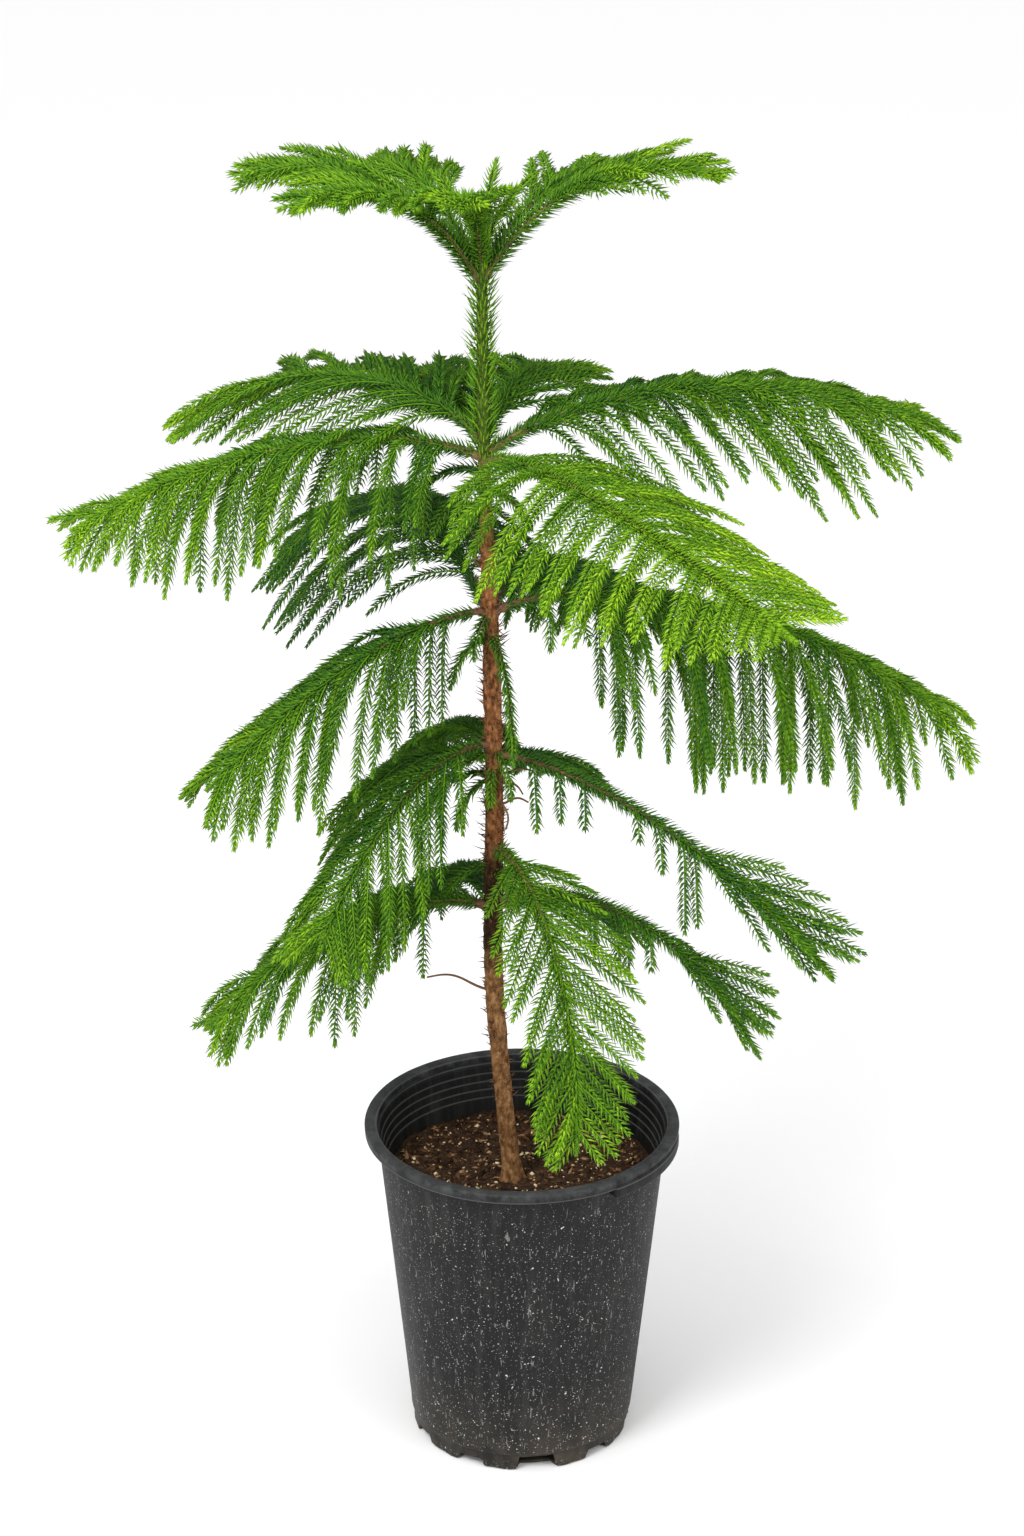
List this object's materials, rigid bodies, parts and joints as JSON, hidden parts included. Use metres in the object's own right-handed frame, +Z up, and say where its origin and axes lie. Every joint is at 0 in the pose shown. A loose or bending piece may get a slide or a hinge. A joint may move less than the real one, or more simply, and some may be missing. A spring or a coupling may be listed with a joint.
{
  "type": "potted norfolk island pine",
  "caption": "Young tiered conifer with arching, drooping boughs of soft needled branchlets on a slim leaning trunk, growing in a tapered round nursery pot filled with soil.",
  "frame": {"origin": "middle of the flat underside of the pot, where it stands", "axes": "+Z up along the trunk; +X to the right and +Y away from the viewer when the plant is seen from its front"},
  "size_m": [0.7419, 0.6674, 1.1836],
  "materials": {
    "pot_plastic": "satin",
    "potting_soil": "matte",
    "bark": "matte",
    "needles": "matte"
  },
  "bodies": {
    "root": {"pot": "pot_plastic", "soil": "potting_soil", "trunk": "bark", "tier1_front_bough": "bark", "tier1_right_bough": "bark", "tier1_back_right_bough": "bark", "tier1_back_bough": "bark", "tier1_back_left_bough": "bark", "tier1_left_bough": "bark", "tier2_right_bough": "bark", "tier2_back_right_bough": "bark", "tier2_back_bough": "bark", "tier2_back_left_bough": "bark", "tier2_left_bough": "bark", "tier3_right_bough": "bark", "tier3_back_bough": "bark", "tier3_back_left_bough": "bark", "tier3_left_bough": "bark", "tier4_right_bough": "bark", "tier4_back_right_bough": "bark", "tier4_back_bough": "bark", "tier4_back_left_bough": "bark", "tier4_left_bough": "bark", "tier4_front_bough": "bark", "tier1_front_foliage": "needles", "tier1_right_foliage": "needles", "tier1_back_right_foliage": "needles", "tier1_back_foliage": "needles", "tier1_back_left_foliage": "needles", "tier1_left_foliage": "needles", "tier2_right_foliage": "needles", "tier2_back_right_foliage": "needles", "tier2_back_foliage": "needles", "tier2_back_left_foliage": "needles", "tier2_left_foliage": "needles", "tier3_right_foliage": "needles", "tier3_back_foliage": "needles", "tier3_back_left_foliage": "needles", "tier3_left_foliage": "needles", "tier4_right_foliage": "needles", "tier4_back_right_foliage": "needles", "tier4_back_foliage": "needles", "tier4_back_left_foliage": "needles", "tier4_left_foliage": "needles", "tier4_front_foliage": "needles", "tier5_right_foliage": "needles", "tier5_back_right_foliage": "needles", "tier5_back_foliage": "needles", "tier5_left_foliage": "needles", "tier5_front_left_foliage": "needles", "tier5_front_foliage": "needles", "hanging_twig": "needles", "trunk_needles": "needles", "leader_tuft": "needles"}
  },
  "joints": []
}
